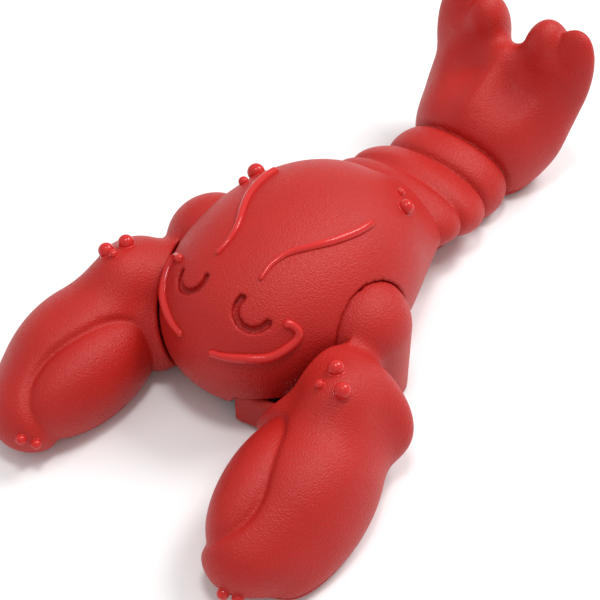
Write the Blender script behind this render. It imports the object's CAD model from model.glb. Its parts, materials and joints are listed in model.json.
import itertools
import json
import math

import bpy
import numpy as np
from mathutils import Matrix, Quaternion, Vector


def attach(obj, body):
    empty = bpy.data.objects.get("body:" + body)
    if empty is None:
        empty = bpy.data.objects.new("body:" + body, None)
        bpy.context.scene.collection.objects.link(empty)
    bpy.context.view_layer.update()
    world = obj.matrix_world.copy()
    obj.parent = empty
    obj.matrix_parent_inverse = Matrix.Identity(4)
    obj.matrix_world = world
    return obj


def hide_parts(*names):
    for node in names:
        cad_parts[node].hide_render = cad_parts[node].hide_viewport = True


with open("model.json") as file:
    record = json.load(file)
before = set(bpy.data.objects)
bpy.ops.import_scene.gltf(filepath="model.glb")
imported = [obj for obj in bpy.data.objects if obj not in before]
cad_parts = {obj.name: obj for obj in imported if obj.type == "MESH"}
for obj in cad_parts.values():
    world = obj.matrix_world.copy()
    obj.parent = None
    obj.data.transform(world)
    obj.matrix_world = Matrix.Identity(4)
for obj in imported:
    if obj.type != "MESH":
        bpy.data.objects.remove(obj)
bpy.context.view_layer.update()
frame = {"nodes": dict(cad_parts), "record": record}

# Lobster cracker. X runs to the lobster's left, Y from the claws to the tail and Z up. Shapes are
# worked out in millimetres, with the levers closed, as fields of signed distance that are negative
# inside the plastic. Their surfaces are meshed, turned to the levers' rest angles and written in
# metres. The left lever is modelled and the right one is its mirror image.

MM = 0.001
WALL = 2.2
PARTING_Z = 3.0                          # shells above, flat covers below
SEAM = 0.06                              # half of the gap left between a shell and its cover
SHELL_GAP = 0.5                          # between a claw and the head
HUB_GAP = 0.3                            # between a shoulder and the carapace round it
CORE_GAP = 0.3                           # between a lever's steel and its shell
REST_OPEN = {"left": 12.0, "right": 0.0}     # degrees away from closed
FULL_OPEN = 24.0

joints = {joint["name"]: joint for joint in frame["record"]["behaviour"]["joints"]}
PIVOT_X = joints["left_lever_pivot"]["pos_m"][0] / MM

# Ellipsoids: centre, half-axes, then yaw, pitch and roll in degrees. Those off the middle are the
# left one of a pair.
CARAPACE = ((0, 3.8, 18.9), (29.6, 40.2, 25.8), (0, 0, 0))
RUMP = ((0, 30.4, 16.7), (21.5, 29.8, 10.0), (0, 0, 0))
TAIL_CORE = ((0, 64.0, 5.0), (15.0, 40.0, 9.0), (0, 0, 0))
TAIL_RINGS = [
    ((0, 47.3, 15.9), (21.2, 14.1, 9.4), (0, -15.4, 0)),
    ((0, 58.8, 12.0), (21.3, 16.4, 10.3), (0, -27, 0)),
    ((0, 73.7, 8.4), (19.0, 15.2, 13.2), (0, -16.4, 0)),
]
FAN_ROOT = ((0, 91.7, 12.5), (20.9, 16.5, 20.4), (0, -7.7, 0))
FAN_WEB = ((0, 98.9, 18.9), (23.6, 10.9, 20.6), (0, -6.9, 0))
FAN_OUTER = ((15.8, 103.8, 29.3), (9.4, 5.5, 21.4), (0, -4.4, 12.9))
FAN_INNER = ((10.6, 105.8, 35.8), (7.2, 8.3, 14.1), (0, 10, -2.5))
ROOT = ((28.9, -20.4, 15.2), (20.0, 9.4, 14.0), (0.9, -18.2, 17.2))
ELBOW = ((31.2, -26.9, 17.2), (10.8, 12.4, 14.8), (0, 0, 0))
PALM = ((32.9, -44.0, 11.0), (14.2, 22.2, 15.0), (0, 1, 0))
FLANK = ((38.4, -46.4, 5.9), (8.8, 23.0, 9.5), (0, 6.8, 6))
THUMB = ((22.6, -49.0, 11.0), (9.6, 22.0, 12.9), (0, -3, 6))
FINGERTIP = ((28.6, -64.5, 9.0), (10.5, 11.9, 9.5), (-20, 0, 0))
GUSSET = ((21.5, -29.5, 10.5), (10.5, 7.0, 10.0), (0, 0, 0))
CARAPACE_POWER = 2.1                     # a little boxier than an ellipsoid, whose power is 2

# How far two shapes flow into each other where they meet.
BROAD_BLEND = 6.0                        # between the large masses
SHOULDER_BLEND = 5.0                     # the claw into its shoulder and the fold beside it
FAN_BLEND = 4.0                          # the fan's lobes into their web
NOSE_BLEND = 2.5                         # the web in front of the jaw into the claw
CORE_BLEND = 1.2                         # the tail's core into its rings
CREASE_BLEND = 0.5                       # where a groove or a step has to stay sharp
DOME_BLEND = 0.4                         # the shoulder's dome into the claw's upper side

# How far the edge of a cut is rounded.
NOSE_EDGE = 2.0                          # top and foot of the web in front of the jaw
GAP_EDGE = 0.8                           # beside a gap between two pieces, and under the covers
SLOT_EDGE = 0.6                          # where levers and link plates pass through
WALL_EDGE = 0.5                          # between a wall's inside and its other faces
RIM_EDGE = 0.4                           # a shell's lower rim and the tail's neck
CRISP_EDGE = 0.3                         # small cuts, and a cover's upper rim

# The tail and its fan.
TAIL_NECK_Y = 38.0
NECK_OVERLAP = 1.0                       # the carapace ends this far inside the tail's skin
NECK_ROOM = 1.0                          # and is cut for the tail from this far before the neck
CREASE_DEPTH, CREASE_WIDTH = 1.0, 1.1    # the grooves between the rings
FAN_CREASE_Z = 43.5                      # below this the two lobes of a side run together
LOBE_BLEND, LOBE_BLEND_ADDED = 1.0, 5.0  # their blend above that height, and what is added below
LOBE_FADE = 5.0                          # the height over which it is added
FAN_HOLLOW = (8.5, 101.0, 35.0)          # the hollow in each side of the fan's front
FAN_HOLLOW_DEPTH, FAN_HOLLOW_WIDTH, FAN_HOLLOW_HEIGHT = 4.0, 5.5, 7.5
FAN_HOLLOW_FADE = 6.0                    # it deepens over this way towards the front
TAIL_COVER_FOOT = 0.3                    # heights of the covers' undersides
CLAW_COVER_FOOT = 0.2

# The levers: shoulder, steel core, jaw, and the claw shell's web that runs past the front of the jaw.
HUB_RADIUS, HUB_MIDDLE, HUB_TOP, HUB_FOOT = 13.3, 21.0, 33.6, 0.6
HUB_LIMIT = HUB_RADIUS + 0.1             # what lies within this of the pin belongs to the shoulder
HUB_MOUTH = (110.0, 226.0)               # the shoulder is open between these directions, in degrees
CORE_EYE_RADIUS, CORE_ARM_RADIUS, CORE_TOP = 7.5, 6.5, 9.6
ARM_PATH = [(PIVOT_X, 0), (31, -24), (37.5, -42), (32, -57)]
TONGUE = (6.5, 31.0, -23.8, -11.5)       # x from, x to, y from and y to, as in the next two
JAW = (2.5, 11.0, -24.8, -10.0)
NOSE = (3.8, 20.0, -26.6, -26.2)
NOSE_ROUND = 1.2                         # the web reaches this far past its rectangle
JAW_TOP = 12.0
SWEEP_ROOM, SWEEP_HEADROOM = 0.8, 0.5    # kept free beside and above a swinging lever
SWEEP_TURNS = 7                          # angles tried between closed and open
SWEEP_REACH = 6.0                        # a point this far above the jaws is simply far away
FAR = 50.0

# The step where the hand's edge stands a little over the thumb.
LIP_HEIGHT = 1.1
LIP_PLACE, LIP_WIDTH = 0.7, 7.0          # where it rises past the crease, and where it has died out
LIP_SHARPNESS = 0.3                      # the way over which it rises
LIP_START_Y, LIP_FADE = -31.0, 10.0      # it fades in from here towards the tip
EXP_LIMIT = 30                           # keeps the exponential within a float's range

EYE_SEAT = (9.9, -24.2, 36.0)
EYE_RADIUS, EYE_HALF_WIDTH, EYE_DEPTH = 4.4, 0.9, 1.8
EYE_OPENING = 84.0                       # the ring is open this far to each side of straight back
EYE_REACH = 5.0                          # the cut ends this far off the skin
EYE_BACKING, EYE_BACKING_FADE = 2.0, 2.0     # the wall is this much thicker under the eyes

TINY, SMALL = 1e-9, 1e-6                 # smallest divisors


# ---- fields -------------------------------------------------------------------------------------

def unit(vectors):
    return vectors / np.maximum(np.linalg.norm(vectors, axis=-1, keepdims=True), TINY)


EYE_NORMAL = unit(np.array([0.34, -0.52, 0.78]))     # square to the head's skin at the eye
EYE_BACK = unit(np.array([0, 1.0, 0]) - EYE_NORMAL[1] * EYE_NORMAL)
EYE_SIDE = np.cross(EYE_BACK, EYE_NORMAL)


def turn_matrix(yaw, pitch, roll):
    """Roll about Y, then pitch about X, then yaw about Z."""
    cz, sz = math.cos(math.radians(yaw)), math.sin(math.radians(yaw))
    cx, sx = math.cos(math.radians(pitch)), math.sin(math.radians(pitch))
    cy, sy = math.cos(math.radians(roll)), math.sin(math.radians(roll))
    about_z = np.array([[cz, -sz, 0], [sz, cz, 0], [0, 0, 1]])
    about_x = np.array([[1, 0, 0], [0, cx, -sx], [0, sx, cx]])
    about_y = np.array([[cy, 0, sy], [0, 1, 0], [-sy, 0, cy]])
    return about_z @ about_x @ about_y


def ellipsoid(p, shape, power=2.0):
    """About the distance from an ellipsoid; it is exact in the limit, at the surface."""
    centre, half_axes, angles = shape
    axes = np.array(half_axes, float)
    local = np.abs((p - np.array(centre)) @ turn_matrix(*angles)) / axes
    near = (local ** power).sum(1) ** (1 / power)
    rise = np.sqrt(((local ** (power - 1) / axes) ** 2).sum(1))
    slope = rise / np.maximum(near, SMALL) ** (power - 1)
    return (near - 1) / np.maximum(slope, SMALL)


def smooth_min(a, b, width):
    """Two shapes joined, with a blend where they meet."""
    mix = np.clip(0.5 + 0.5 * (b - a) / width, 0, 1)
    return b * (1 - mix) + a * mix - width * mix * (1 - mix)


def smooth_max(a, b, width):
    """What two shapes have in common, with rounded edges."""
    return -smooth_min(-a, -b, width)


def box_2d(x, y, limits):
    x_from, x_to, y_from, y_to = limits
    dx = np.abs(x - (x_from + x_to) / 2) - (x_to - x_from) / 2
    dy = np.abs(y - (y_from + y_to) / 2) - (y_to - y_from) / 2
    return np.hypot(np.maximum(dx, 0), np.maximum(dy, 0)) + np.minimum(np.maximum(dx, dy), 0)


def bar_2d(x, y, start, end, radius):
    along = np.array(end, float) - start
    share = ((x - start[0]) * along[0] + (y - start[1]) * along[1]) / (along @ along)
    share = np.clip(share, 0, 1)
    return np.hypot(x - start[0] - share * along[0], y - start[1] - share * along[1]) - radius


def core_2d(x, y):
    """The steel lever's outline: its eye, arm and the tongue that carries the jaw."""
    field = np.hypot(x - PIVOT_X, y) - CORE_EYE_RADIUS
    for start, end in zip(ARM_PATH, ARM_PATH[1:]):
        field = np.minimum(field, bar_2d(x, y, start, end, CORE_ARM_RADIUS))
    return np.minimum(field, box_2d(x, y, TONGUE))


def turned_2d(x, y, degrees):
    """Points turned about the left pin."""
    c, s = math.cos(math.radians(degrees)), math.sin(math.radians(degrees))
    return PIVOT_X + c * (x - PIVOT_X) - s * y, s * (x - PIVOT_X) + c * y


def left_half(p):
    """Points of the right half brought over to the left, for shapes that are the same on both."""
    return np.column_stack([np.abs(p[:, 0]), p[:, 1], p[:, 2]])


def from_pin(p):
    return np.hypot(p[:, 0] - PIVOT_X, p[:, 1])


def head_skin(p):
    return ellipsoid(p, CARAPACE, CARAPACE_POWER)


def back_skin(p):
    return smooth_min(head_skin(p), ellipsoid(p, RUMP), BROAD_BLEND)


def hub_skin(p):
    """The shoulder: round about its pin, domed on top and straight below."""
    dome = ((PIVOT_X, 0, HUB_MIDDLE), (HUB_RADIUS, HUB_RADIUS, HUB_TOP - HUB_MIDDLE), (0, 0, 0))
    return np.where(p[:, 2] > HUB_MIDDLE, ellipsoid(p, dome), from_pin(p) - HUB_RADIUS)


def nose_2d(x, y):
    return box_2d(x, y, NOSE) - NOSE_ROUND


def lever_sweep(p):
    """What a lever's tongue, jaw and arm pass through between closed and open, with some room."""
    field = np.full(len(p), FAR)
    low = p[:, 2] < JAW_TOP + SWEEP_REACH
    x, y = p[low, 0], p[low, 1]
    flat = np.full(len(x), FAR)
    for angle in np.linspace(0, FULL_OPEN, SWEEP_TURNS):
        turned = turned_2d(x, y, -angle)
        flat = np.minimum(flat, np.minimum(core_2d(*turned), box_2d(*turned, JAW)))
        flat = np.minimum(flat, nose_2d(*turned))
    field[low] = smooth_max(flat - SWEEP_ROOM, p[low, 2] - JAW_TOP - SWEEP_HEADROOM, SLOT_EDGE)
    return field


def eye_grooves(p):
    """Two closed eyes: rings open towards the back, cut a little way into the skin."""
    offset = left_half(p) - EYE_SEAT
    across, back, off_skin = offset @ EYE_SIDE, offset @ EYE_BACK, offset @ EYE_NORMAL
    from_back = np.degrees(np.arctan2(across, back))
    tip = np.where(from_back < 0, -EYE_OPENING, EYE_OPENING)
    nearest = np.radians(np.where(np.abs(from_back) > EYE_OPENING, from_back, tip))
    away = np.hypot(across - EYE_RADIUS * np.sin(nearest), back - EYE_RADIUS * np.cos(nearest))
    return np.maximum(away - EYE_HALF_WIDTH, np.abs(off_skin) - EYE_REACH)


def above_parting(p, shell):
    return smooth_max(shell, PARTING_Z + SEAM - p[:, 2], RIM_EDGE)


def below_parting(p, skin):
    return smooth_max(skin, p[:, 2] - PARTING_Z + SEAM, CRISP_EDGE)


def behind_neck(p, shape):
    return smooth_max(shape, TAIL_NECK_Y - p[:, 1], RIM_EDGE)


def hollowed(outside, skin, wall):
    """Keeps the plastic between the outside and a wall's depth under the skin."""
    return smooth_max(outside, -(skin + wall), WALL_EDGE)


def carapace_field(p):
    """The head and back, with eyes, and cut free of shoulders, levers and tail."""
    skin = back_skin(p)
    half = left_half(p)
    near_eyes = eye_grooves(p)
    grooves = smooth_max(near_eyes, -(skin + EYE_DEPTH), CRISP_EDGE)
    outside = smooth_max(skin, -grooves, CRISP_EDGE)
    wall = WALL + EYE_BACKING * np.clip(1 - near_eyes / EYE_BACKING_FADE, 0, 1)
    shell = hollowed(outside, skin, wall)
    shell = smooth_max(shell, -(hub_skin(half) - HUB_GAP), GAP_EDGE)
    shell = smooth_max(shell, -lever_sweep(half), SLOT_EDGE)
    neck = np.maximum(tail_skin(p) + NECK_OVERLAP, TAIL_NECK_Y - NECK_ROOM - p[:, 1])
    shell = smooth_max(shell, -neck, CRISP_EDGE)
    return above_parting(p, shell)


def creased(a, b):
    """Two skins joined by a narrow groove where they meet."""
    groove = CREASE_DEPTH * np.exp(-((a - b) / CREASE_WIDTH) ** 2)
    return smooth_min(a, b, CREASE_BLEND) + groove


def fan_skin(p):
    """The tail fan: four rounded lobes over a web that is hollowed at the front."""
    half = left_half(p)
    web = smooth_min(ellipsoid(p, FAN_ROOT), ellipsoid(p, FAN_WEB), BROAD_BLEND)
    below = np.clip((FAN_CREASE_Z - p[:, 2]) / LOBE_FADE, 0, 1)
    blend = LOBE_BLEND + LOBE_BLEND_ADDED * below
    lobes = smooth_min(ellipsoid(half, FAN_OUTER), ellipsoid(half, FAN_INNER), blend)
    fan = smooth_min(web, lobes, FAN_BLEND)
    across = (half[:, 0] - FAN_HOLLOW[0]) / FAN_HOLLOW_WIDTH
    up = (p[:, 2] - FAN_HOLLOW[2]) / FAN_HOLLOW_HEIGHT
    front = np.clip((FAN_HOLLOW[1] - p[:, 1]) / FAN_HOLLOW_FADE, 0, 1)
    return fan + FAN_HOLLOW_DEPTH * front * np.exp(-across ** 2 - up ** 2)


def tail_skin(p):
    """The abdomen's rings over their core, then the fan."""
    rings = ellipsoid(p, TAIL_RINGS[0])
    for ring in TAIL_RINGS[1:]:
        rings = creased(rings, ellipsoid(p, ring))
    return creased(smooth_min(ellipsoid(p, TAIL_CORE), rings, CORE_BLEND), fan_skin(p))


def tail_field(p):
    skin = tail_skin(p)
    return above_parting(p, behind_neck(p, hollowed(skin, skin, WALL)))


def tail_cover_field(p):
    cover = behind_neck(p, below_parting(p, tail_skin(p)))
    return smooth_max(cover, TAIL_COVER_FOOT - p[:, 2], GAP_EDGE)


def off_head(p, skin):
    """Keeps a claw's skin a little way off the head."""
    return smooth_max(skin, -(head_skin(p) - SHELL_GAP), GAP_EDGE)


def claw_outline(p):
    """The claw without its shoulder: hand and forearm, with the thumb under the hand's edge."""
    hand = smooth_min(ellipsoid(p, PALM), ellipsoid(p, FLANK), BROAD_BLEND)
    hand = smooth_min(hand, ellipsoid(p, FINGERTIP), BROAD_BLEND)
    upper = smooth_min(ellipsoid(p, ROOT), ellipsoid(p, ELBOW), BROAD_BLEND)
    hand = smooth_min(hand, upper, BROAD_BLEND)
    hand = smooth_min(hand, ellipsoid(p, GUSSET), SHOULDER_BLEND)
    thumb = ellipsoid(p, THUMB)
    past = thumb - hand
    step = 1 / (1 + np.exp(np.clip((LIP_PLACE - past) / LIP_SHARPNESS, -EXP_LIMIT, EXP_LIMIT)))
    lip = LIP_HEIGHT * step * np.exp(-(np.maximum(past, 0) / LIP_WIDTH) ** 2)
    lip = lip * np.clip((LIP_START_Y - p[:, 1]) / LIP_FADE, 0, 1)
    return smooth_min(hand - lip, thumb, CREASE_BLEND)


def claw_skin(p):
    return off_head(p, claw_outline(p))


def hub_mouth(p):
    """The wedge of the shoulder that is open to the link plates."""
    start, end = (math.radians(angle) for angle in HUB_MOUTH)
    x, y = p[:, 0] - PIVOT_X, p[:, 1]
    return np.maximum(x * math.sin(start) - y * math.cos(start), y * math.cos(end) - x * math.sin(end))


def nose_field(p):
    """The small web in front of the jaw, as tall as the shoulder's foot to the jaw's top."""
    middle, half_height = (JAW_TOP + HUB_FOOT) / 2, (JAW_TOP - HUB_FOOT) / 2
    return smooth_max(nose_2d(p[:, 0], p[:, 1]), np.abs(p[:, 2] - middle) - half_height, NOSE_EDGE)


def claw_field(p):
    """A claw's shell with its shoulder, open underneath, and cut free of the steel."""
    hub = hub_skin(p)
    skin = off_head(p, smooth_min(claw_outline(p), hub, SHOULDER_BLEND))
    skin = smooth_min(skin, hub, DOME_BLEND)
    shell = hollowed(skin, skin, WALL)
    core = np.maximum(core_2d(p[:, 0], p[:, 1]) - CORE_GAP, p[:, 2] - CORE_TOP)
    shell = smooth_max(shell, -core, CRISP_EDGE)
    shell = smooth_max(shell, -hub_mouth(p), SLOT_EDGE)
    foot = np.where(from_pin(p) < HUB_LIMIT, HUB_FOOT, PARTING_Z + SEAM)
    shell = smooth_max(shell, foot - p[:, 2], RIM_EDGE)
    return smooth_min(shell, nose_field(p), NOSE_BLEND)


def claw_cover_field(p):
    cover = below_parting(p, claw_skin(p))
    cover = smooth_max(cover, HUB_LIMIT - from_pin(p), CRISP_EDGE)
    return smooth_max(cover, CLAW_COVER_FOOT - p[:, 2], GAP_EDGE)


# ---- meshing ------------------------------------------------------------------------------------

STEP = 0.66                              # size of a grid cell
BLOCK = 3                                # cells along each side of a block of the first, coarse look
BLOCK_REACH = 1.3                        # blocks this many sides from the surface are worked out too
SLOPE_REACH = 0.05                       # a slope is measured this far to each side
LEAST_SLOPE = 0.05                       # squared; a flatter field is not trusted
CUBE_CORNERS = list(itertools.product((0, 1), repeat=3))
SQUARE_CORNERS = list(itertools.product((0, 1), repeat=2))
AROUND_EDGE = [(-1, -1), (0, -1), (0, 0), (-1, 0)]       # the four cells round a grid edge, in turn


def sampled(field, points, chunk=200000):
    parts = [field(points[i:i + chunk]) for i in range(0, len(points), chunk)]
    return np.concatenate(parts)


def gradient(field, points):
    slopes = []
    for axis in range(3):
        offset = np.zeros(3)
        offset[axis] = SLOPE_REACH
        rise = sampled(field, points + offset) - sampled(field, points - offset)
        slopes.append(rise / (2 * SLOPE_REACH))
    return np.column_stack(slopes)


def settled(field, points, rounds, longest):
    """Moves points along the field's slope onto its surface, by no more than longest each round."""
    for _ in range(rounds):
        slope = gradient(field, points)
        size = np.maximum((slope ** 2).sum(1), LEAST_SLOPE)
        move = slope * (sampled(field, points) / size)[:, None]
        length = np.linalg.norm(move, axis=1, keepdims=True)
        points = points - move * np.minimum(1, longest / np.maximum(length, TINY))
    return points


def corner_windows(values):
    """The values at the eight corners of every cell, as eight arrays."""
    windows = []
    for corner in CUBE_CORNERS:
        windows.append(values[tuple(slice(c, n - 1 + c) for c, n in zip(corner, values.shape))])
    return windows


def near_surface(field, ticks):
    """Which blocks of grid cells the surface may pass through."""
    coarse = [axis_ticks[::BLOCK] for axis_ticks in ticks]
    grid = np.stack(np.meshgrid(*coarse, indexing="ij"), -1).reshape(-1, 3)
    distance = np.abs(sampled(field, grid)).reshape([len(axis_ticks) for axis_ticks in coarse])
    return np.minimum.reduce(corner_windows(distance)) < BLOCK_REACH * BLOCK * STEP


def grid_values(field, ticks):
    """The field on the whole grid, worked out only near its surface and not a number elsewhere."""
    counts = [len(axis_ticks) for axis_ticks in ticks]
    blocks = near_surface(field, ticks)
    wanted = np.zeros(counts, bool)
    for i, j, k in itertools.product(range(BLOCK + 1), repeat=3):
        window = wanted[i::BLOCK, j::BLOCK, k::BLOCK]
        size = [min(a, b) for a, b in zip(window.shape, blocks.shape)]
        window[:size[0], :size[1], :size[2]] |= blocks[:size[0], :size[1], :size[2]]
    spots = np.argwhere(wanted)
    points = np.column_stack([ticks[axis][spots[:, axis]] for axis in range(3)])
    values = np.full(counts, np.nan)
    values[wanted] = sampled(field, points)
    return values


def fill_signs(values):
    """Gives the unknown grid points the last value known before them in their row, or 1, outside."""
    rows = values.reshape(-1, values.shape[2])
    known = ~np.isnan(rows)
    last = np.where(known, np.arange(rows.shape[1]), 0)
    last = np.maximum.accumulate(last, axis=1)
    carried = np.take_along_axis(rows, last, 1)
    filled = np.where(known, rows, np.where(np.isnan(carried), 1.0, carried))
    return filled.reshape(values.shape)


def crossing_points(values, cells):
    """For each cell, the mean of the points where the surface cuts its edges, in grid steps."""
    total = np.zeros((len(cells), 3))
    hits = np.zeros(len(cells))
    for axis in range(3):
        others = [a for a in range(3) if a != axis]
        for offset in SQUARE_CORNERS:
            start = cells.copy()
            start[:, others] += offset
            end = start.copy()
            end[:, axis] += 1
            a = values[tuple(start.T)]
            b = values[tuple(end.T)]
            cut = (a < 0) != (b < 0)
            share = np.where(cut, a / np.where(cut, a - b, 1), 0)
            point = start.astype(float)
            point[:, axis] += share
            total += np.where(cut[:, None], point, 0)
            hits += cut
    return total / hits[:, None]


def crossing_quads(inside, index):
    """A quad round every grid edge that the surface cuts, through the points of its four cells."""
    counts = inside.shape
    quads = []
    for axis in range(3):
        others = [a for a in range(3) if a != axis]
        first = np.take(inside, range(counts[axis] - 1), axis)
        second = np.take(inside, range(1, counts[axis]), axis)
        edges = np.argwhere(first != second)
        keep = np.all([(edges[:, a] > 0) & (edges[:, a] < counts[a] - 1) for a in others], axis=0)
        edges = edges[keep]
        corners = []
        for offset in AROUND_EDGE:
            cell = edges.copy()
            cell[:, others] += offset
            corners.append(index[tuple(cell.T)])
        quad = np.column_stack(corners)
        outwards = first[tuple(edges.T)] ^ (axis == 1)       # the turn is the other way about Y
        quad[~outwards] = quad[~outwards][:, ::-1]
        quads.append(quad)
    return np.vstack(quads)


def net(field, low, high):
    """A closed quad mesh of the field's surface inside a box: one vertex in each crossed cell."""
    side = STEP * BLOCK
    counts = [BLOCK * int(math.ceil((b - a) / side)) + 1 for a, b in zip(low, high)]
    ticks = [low[axis] + STEP * np.arange(counts[axis]) for axis in range(3)]
    values = fill_signs(grid_values(field, ticks))
    inside = values < 0
    corners_inside = sum(window.astype(int) for window in corner_windows(inside))
    crossed = (corners_inside > 0) & (corners_inside < len(CUBE_CORNERS))
    index = np.full(crossed.shape, -1)
    index[crossed] = np.arange(crossed.sum())
    cells = np.argwhere(crossed)
    points = np.array(low) + STEP * crossing_points(values, cells)
    return settled(field, points, rounds=3, longest=0.4), crossing_quads(inside, index)


def placed(points, side):
    """Closed-lever millimetres of the left side, moved to one lever's rest angle."""
    x, y = turned_2d(points[:, 0], points[:, 1], REST_OPEN[side])
    if side == "right":
        x = -x
    return np.column_stack([x, y, points[:, 2]])


def make_object(name, points, faces, material, body):
    mesh = bpy.data.meshes.new(name)
    mesh.from_pydata((points * MM).tolist(), [], [list(map(int, face)) for face in faces])
    mesh.update()
    mesh.shade_smooth()
    piece = bpy.data.objects.new(name, mesh)
    bpy.context.scene.collection.objects.link(piece)
    mesh.materials.append(material)
    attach(piece, body)
    return piece


# ---- trim on the surface ------------------------------------------------------------------------

SEAT_REACH = 2.0                         # how far a trim's point may move towards the skin each round
RIDGE_RISE = 0.15                        # a ridge's axis is this share of its radius above the skin
RIDGE_END = 0.02                         # the square of how thin a ridge's tip gets, as a share
BEAD_RISE = 0.3                          # a bead's centre above the skin, in radii
BEAD_FOOT = [(1.12, -0.45), (1.12, -0.05), (0.96, 0.12)]     # its fillet: outwards and up, in radii
BEAD_ROWS = (-20, 84, 12)                # first and last degree up its ball, and how many rows
ASKEW = (0.3, 0.2, 1.0)                  # a direction that no bead stands along


def smooth_path(points, samples):
    """A Catmull-Rom curve through a few points, sampled evenly in its parameter."""
    points = np.array(points, float)
    ends = np.vstack([2 * points[0] - points[1], points, 2 * points[-1] - points[-2]])
    where = np.linspace(0, len(points) - 1, samples)
    piece = np.minimum(where.astype(int), len(points) - 2)
    t = (where - piece)[:, None]
    a, b, c, d = (ends[piece + i] for i in range(4))
    return 0.5 * (2 * b + (c - a) * t + (2 * a - 5 * b + 4 * c - d) * t ** 2
                  + (3 * b - a - 3 * c + d) * t ** 3)


def tube_faces(rows, around):
    """Quads between rings of vertices, and a flat face at each end."""
    faces = []
    for i in range(rows - 1):
        for j in range(around):
            k = (j + 1) % around
            faces.append((i * around + j, i * around + k, (i + 1) * around + k, (i + 1) * around + j))
    faces.append(tuple(range(around))[::-1])
    faces.append(tuple((rows - 1) * around + j for j in range(around)))
    return faces


def ridge(field, points, radii, samples=72, around=14):
    """A moulded cord that lies half sunk on a surface, thin or thick along its way."""
    path = settled(field, smooth_path(points, samples), rounds=8, longest=SEAT_REACH)
    radius = np.interp(np.linspace(0, 1, samples), np.linspace(0, 1, len(radii)), radii)
    travelled = np.concatenate([[0], np.cumsum(np.linalg.norm(np.diff(path, axis=0), axis=1))])
    from_end = np.minimum(travelled, travelled[-1] - travelled)
    into_end = 1 - np.clip(from_end / radius, 0, 1)
    radius = radius * np.sqrt(np.clip(1 - into_end ** 2, RIDGE_END, 1))
    normal = unit(gradient(field, path))
    along = unit(np.gradient(path, axis=0))
    side = unit(np.cross(along, normal))
    lines = []
    for a in np.linspace(0, 2 * math.pi, around, endpoint=False):
        outwards = math.cos(a) * side + (RIDGE_RISE + math.sin(a)) * normal
        lines.append(path + radius[:, None] * outwards)
    return np.stack(lines, 1).reshape(-1, 3), tube_faces(samples, around)


def bead(field, start, radius, around=28):
    """A small ball on a surface, with a soft fillet where it meets the skin."""
    seat = settled(field, np.array([start], float), rounds=10, longest=SEAT_REACH)[0]
    normal = unit(gradient(field, seat[None]))[0]
    side = unit(np.cross(normal, ASKEW))
    third = np.cross(normal, side)
    outline = [(out * radius, up * radius) for out, up in BEAD_FOOT]
    for degree in np.linspace(*BEAD_ROWS):
        angle = math.radians(degree)
        outline.append((radius * math.cos(angle), BEAD_RISE * radius + radius * math.sin(angle)))
    vertices = []
    for across, up in outline:
        for a in np.linspace(0, 2 * math.pi, around, endpoint=False):
            vertices.append(seat + normal * up + across * (math.cos(a) * side + math.sin(a) * third))
    return np.array(vertices), tube_faces(len(outline), around)


def mirrored(points, faces):
    return points * np.array([-1, 1, 1]), [tuple(face)[::-1] for face in faces]


# ---- materials ----------------------------------------------------------------------------------

SPREAD_FROM, SPREAD_TO = 0.3, 0.7        # the part of a noise's range over which a value changes
PLASTIC_SPECULAR = 0.3
PLASTIC_CLOUD_SCALE, PLASTIC_PEBBLE_SCALE = 60.0, 2300.0     # noise cells to the metre
PLASTIC_BUMP = 0.5
PLASTIC_GLOSS_SPREAD = (-0.04, 0.05)
STEEL_GRAIN_SCALE, STEEL_NOISE_SCALE = 400.0, 3.0
STEEL_BUMP, STEEL_BUMP_DEPTH = 0.25, 0.00003
STEEL_GLOSS_SPREAD = (-0.06, 0.08)
STEEL_SHADE = 0.8                        # how bright the dark part of the grain is


class Nodes:
    """A material's node tree with a short way to add and join nodes."""

    def __init__(self, name):
        self.material = bpy.data.materials.new(name)
        self.material.use_nodes = True
        self.tree = self.material.node_tree
        self.shader = self.tree.nodes["Principled BSDF"]

    def set(self, label, value):
        self.shader.inputs[label].default_value = value

    def add(self, kind, **inputs):
        node = self.tree.nodes.new(kind)
        for label, value in inputs.items():
            node.inputs[label].default_value = value
        return node

    def join(self, source, output, target, label):
        self.tree.links.new(source.outputs[output], target.inputs[label])

    def noise(self, source, output, **inputs):
        node = self.add("ShaderNodeTexNoise", **inputs)
        self.join(source, output, node, "Vector")
        return node

    def spread(self, noise, low, high, label):
        """Takes one of the shader's inputs from one colour to another over a noise."""
        node = self.add("ShaderNodeValToRGB")
        elements = node.color_ramp.elements
        for i, (place, colour) in enumerate(((SPREAD_FROM, low), (SPREAD_TO, high))):
            elements[i].position = place
            elements[i].color = (*colour, 1)
        self.join(noise, "Fac", node, "Fac")
        self.join(node, "Color", self.shader, label)

    def spread_roughness(self, noise, middle, offsets):
        low, high = ((middle + offset,) * 3 for offset in offsets)
        self.spread(noise, low, high, "Roughness")

    def bump(self, noise, strength, depth):
        node = self.add("ShaderNodeBump", Strength=strength, Distance=depth)
        self.join(noise, "Fac", node, "Height")
        self.join(node, "Normal", self.shader, "Normal")


def red_plastic(name, roughness, colour, dark, grain_depth):
    """Moulded plastic with a fine pebble grain and a faint cloudiness."""
    nodes = Nodes(name)
    nodes.set("Specular IOR Level", PLASTIC_SPECULAR)
    place = nodes.add("ShaderNodeTexCoord")
    cloud = nodes.noise(place, "Object", Scale=PLASTIC_CLOUD_SCALE, Detail=3.0, Roughness=0.5)
    nodes.spread(cloud, dark, colour, "Base Color")
    pebble = nodes.noise(place, "Object", Scale=PLASTIC_PEBBLE_SCALE, Detail=1.0, Roughness=0.5)
    nodes.spread_roughness(pebble, roughness, PLASTIC_GLOSS_SPREAD)
    nodes.bump(pebble, PLASTIC_BUMP, grain_depth)
    return nodes.material


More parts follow.
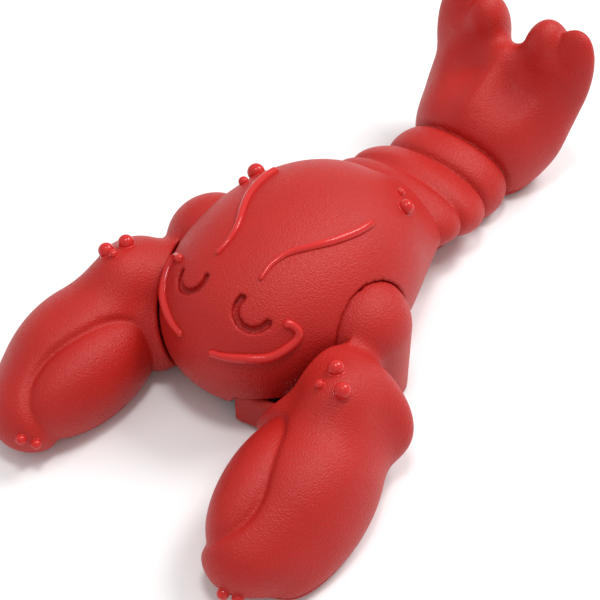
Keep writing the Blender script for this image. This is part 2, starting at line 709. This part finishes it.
def steel(name, colour, roughness, stretch):
    """Steel with a brushed grain, or an even blasted one when the stretch is 1."""
    nodes = Nodes(name)
    nodes.set("Metallic", 1.0)
    place = nodes.add("ShaderNodeTexCoord")
    shape = nodes.add("ShaderNodeMapping")
    across = STEEL_GRAIN_SCALE
    shape.inputs["Scale"].default_value = (across, across / stretch, across)
    nodes.join(place, "Object", shape, "Vector")
    grain = nodes.noise(shape, "Vector", Scale=STEEL_NOISE_SCALE, Detail=4.0, Roughness=0.6)
    darker = tuple(STEEL_SHADE * c for c in colour)
    nodes.spread(grain, darker, colour, "Base Color")
    nodes.spread_roughness(grain, roughness, STEEL_GLOSS_SPREAD)
    nodes.bump(grain, STEEL_BUMP, STEEL_BUMP_DEPTH)
    return nodes.material


RED = red_plastic(
    "red_satin",
    roughness=0.45,
    colour=(0.45, 0.013, 0.009),
    dark=(0.41, 0.011, 0.008),
    grain_depth=0.0005,
)
GLOSS_RED = red_plastic(
    "red_polished",
    roughness=0.14,
    colour=(0.56, 0.022, 0.020),
    dark=(0.52, 0.020, 0.018),
    grain_depth=0.00001,
)
LINK_STEEL = steel("link_steel", colour=(0.58, 0.58, 0.59), roughness=0.34, stretch=12.0)
JAW_STEEL = steel("jaw_steel", colour=(0.42, 0.42, 0.43), roughness=0.45, stretch=1.0)
SCREW_STEEL = steel("screw_steel", colour=(0.66, 0.66, 0.67), roughness=0.25, stretch=3.0)


# ---- the pieces ---------------------------------------------------------------------------------

# Each moulding's field and the corners of the box it is meshed in.
BODY_MOULDINGS = {
    "carapace": (carapace_field, (-33, -42, 1), (33, 50, 47)),
    "tail_shell": (tail_field, (-27, 35, 1), (27, 114, 54)),
    "tail_cover": (tail_cover_field, (-25, 36, -1), (25, 112, 5)),
}
CLAW_MOULDINGS = {
    "claw_shell": (claw_field, (0.5, -79, 0), (54, 17, 38)),
    "claw_cover": (claw_cover_field, (8, -79, -1), (54, 0, 5)),
}
BODY_MARGIN = 1.5                        # added to a body moulding's box on every side


def body_pieces():
    for name, (field, low, high) in BODY_MOULDINGS.items():
        points, faces = net(field, np.array(low) - BODY_MARGIN, np.array(high) + BODY_MARGIN)
        piece = make_object(name + "_moulding", points, faces, RED, "body")
        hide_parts(name)


def claw_pieces():
    for name, (field, low, high) in CLAW_MOULDINGS.items():
        points, faces = net(field, low, high)
        for side in ("left", "right"):
            own_faces = faces[:, ::-1] if side == "right" else faces
            spots = placed(points, side)
            piece = make_object(f"{side}_{name}_moulding", spots, own_faces, RED, side + "_lever")
            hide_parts(f"{side}_{name}")


# Cords: points near the skin along the left one of a pair, and radii spread evenly along it.
ANTENNA = [(6.9, -18.3, 40), (6.8, -13.8, 42), (8.0, -9.0, 43), (11.0, -3.5, 43), (13.4, 2.0, 42),
           (15.2, 9.0, 41), (15.6, 15.5, 40)]
ANTENNA_RADII = [0.6, 0.75, 0.9, 1.05, 1.15, 1.15]
WHISKER = [(16.5, -21.0, 34), (18.4, -19.7, 33), (20.3, -19.7, 31.6), (20.4, -21.9, 29.8),
           (17.4, -27.1, 27.4), (12.2, -31.4, 27), (8.0, -33.5, 26.6), (4.2, -34.8, 26.5)]
WHISKER_RADII = [1.3, 1.1, 1.1, 1.2, 1.25, 1.25, 1.2, 1.0, 0.9]
CORDS = {"antenna": (ANTENNA, ANTENNA_RADII), "whisker": (WHISKER, WHISKER_RADII)}

# Beads: a point near the skin and a radius. Those of both claws are given on the left claw.
REAR_BEADS = [((15.0, 29.5, 34.0), 2.1), ((10.4, 34.0, 33.5), 1.2)]
FLANK_BEADS = [((-22.5, 15.0, 36.0), 2.4), ((-21.0, 8.5, 37.5), 1.4)]
CLAW_BEADS = {
    "left": [((33.5, -30.0, 31.5), 2.1), ((29.5, -25.0, 31.5), 2.1), ((28.0, -30.0, 30.5), 1.2),
             ((27.0, -76.3, 6.5), 1.5), ((30.5, -76.3, 5.5), 1.5)],
    "right": [((35.5, -28.0, 30.0), 2.1), ((33.5, -23.5, 31.0), 2.1), ((33.0, -28.5, 31.5), 1.2),
              ((22.3, -74.0, 11.0), 1.3), ((19.8, -72.3, 9.5), 1.3)],
}


def trim_pieces():
    for name, (points, radii) in CORDS.items():
        shape = ridge(back_skin, points, radii)
        make_object("left_" + name, *shape, GLOSS_RED, "body")
        make_object("right_" + name, *mirrored(*shape), GLOSS_RED, "body")
    for index, (spot, radius) in enumerate(REAR_BEADS + FLANK_BEADS):
        make_object(f"back_bead_{index}", *bead(back_skin, spot, radius), GLOSS_RED, "body")
    for side, beads in CLAW_BEADS.items():
        for index, (spot, radius) in enumerate(beads):
            points, faces = bead(claw_skin, spot, radius)
            own_faces = [face[::-1] for face in faces] if side == "right" else faces
            name = f"{side}_claw_bead_{index}"
            make_object(name, placed(points, side), own_faces, GLOSS_RED, side + "_lever")


def finish_cad_nodes():
    """Materials for the pieces that keep their CAD meshes."""
    for name, node in frame["nodes"].items():
        if node.type != "MESH" or node.hide_render:
            continue
        if "jaw_rivets" in name or "screws" in name or "washers" in name:
            material = SCREW_STEEL
        elif name.endswith("_jaw"):
            material = JAW_STEEL
        elif name == "belly_plate":
            material = RED
        else:
            material = LINK_STEEL
        node.data.materials.clear()
        node.data.materials.append(material)


# ---- the stage, in metres -----------------------------------------------------------------------

FLOOR_REACH = 3.0
FLOOR_LOW, FLOOR_HIGH, FLOOR_ROUGHNESS = (0.86, 0.86, 0.86), (0.9, 0.9, 0.9), 0.8
WORLD_STRENGTH = 0.64
LIGHT_TARGET = (0, 0, 0.02)
LIGHTS = {                               # place, size and power
    "key": ((0.15, 0.42, 0.55), 0.28, 2.9),
    "top": ((0.05, -0.05, 0.70), 0.14, 1.5),
    "fill": ((-0.5, -0.4, 0.5), 0.6, 0.2),
}
CAMERA_PLACE = (0.1671, -0.2019, 0.2864)
CAMERA_AZIMUTH, CAMERA_ELEVATION, CAMERA_ROLL = 38.8, 46.1, 0.4     # degrees
CAMERA_LENS, CAMERA_SENSOR = 86.1, 36.0      # millimetres
CAMERA_NEAR = 0.01


def floor_material():
    nodes = Nodes("studio_floor")
    place = nodes.add("ShaderNodeTexCoord")
    cloud = nodes.noise(place, "Object", Scale=4.0, Detail=2.0)
    nodes.spread(cloud, FLOOR_LOW, FLOOR_HIGH, "Base Color")
    nodes.set("Roughness", FLOOR_ROUGHNESS)
    return nodes.material


def stage():
    mesh = bpy.data.meshes.new("floor")
    signs = [(-1, -1), (1, -1), (1, 1), (-1, 1)]
    corners = [(x * FLOOR_REACH, y * FLOOR_REACH, 0) for x, y in signs]
    mesh.from_pydata(corners, [], [(0, 1, 2, 3)])
    mesh.materials.append(floor_material())
    floor = bpy.data.objects.new("floor", mesh)
    bpy.context.scene.collection.objects.link(floor)


def area_light(name, place, size, power):
    data = bpy.data.lights.new(name, "AREA")
    data.size = size
    data.energy = power
    lamp = bpy.data.objects.new(name, data)
    lamp.location = place
    lamp.rotation_mode = "QUATERNION"
    lamp.rotation_quaternion = (Vector(LIGHT_TARGET) - Vector(place)).to_track_quat("-Z", "Y")
    bpy.context.scene.collection.objects.link(lamp)


def lighting():
    world = bpy.data.worlds.new("studio")
    bpy.context.scene.world = world
    world.use_nodes = True
    background = world.node_tree.nodes["Background"]
    background.inputs["Color"].default_value = (1, 1, 1, 1)
    background.inputs["Strength"].default_value = WORLD_STRENGTH
    for name, (place, size, power) in LIGHTS.items():
        area_light(name, place, size, power)


def camera():
    """Looks from the azimuth and elevation, then rolls about its own line of sight."""
    data = bpy.data.cameras.new("camera")
    data.lens = CAMERA_LENS
    data.sensor_width = CAMERA_SENSOR
    data.clip_start = CAMERA_NEAR
    view = bpy.data.objects.new("camera", data)
    view.location = CAMERA_PLACE
    azimuth, elevation = math.radians(CAMERA_AZIMUTH), math.radians(CAMERA_ELEVATION)
    level = math.cos(elevation)
    back = Vector((math.sin(azimuth) * level, -math.cos(azimuth) * level, math.sin(elevation)))
    view.rotation_mode = "QUATERNION"
    upright = (-back).to_track_quat("-Z", "Y")
    view.rotation_quaternion = Quaternion(back, math.radians(CAMERA_ROLL)) @ upright
    bpy.context.scene.collection.objects.link(view)
    bpy.context.scene.camera = view


bpy.context.scene.view_settings.view_transform = "Standard"
camera()
lighting()
stage()
body_pieces()
claw_pieces()
trim_pieces()
finish_cad_nodes()

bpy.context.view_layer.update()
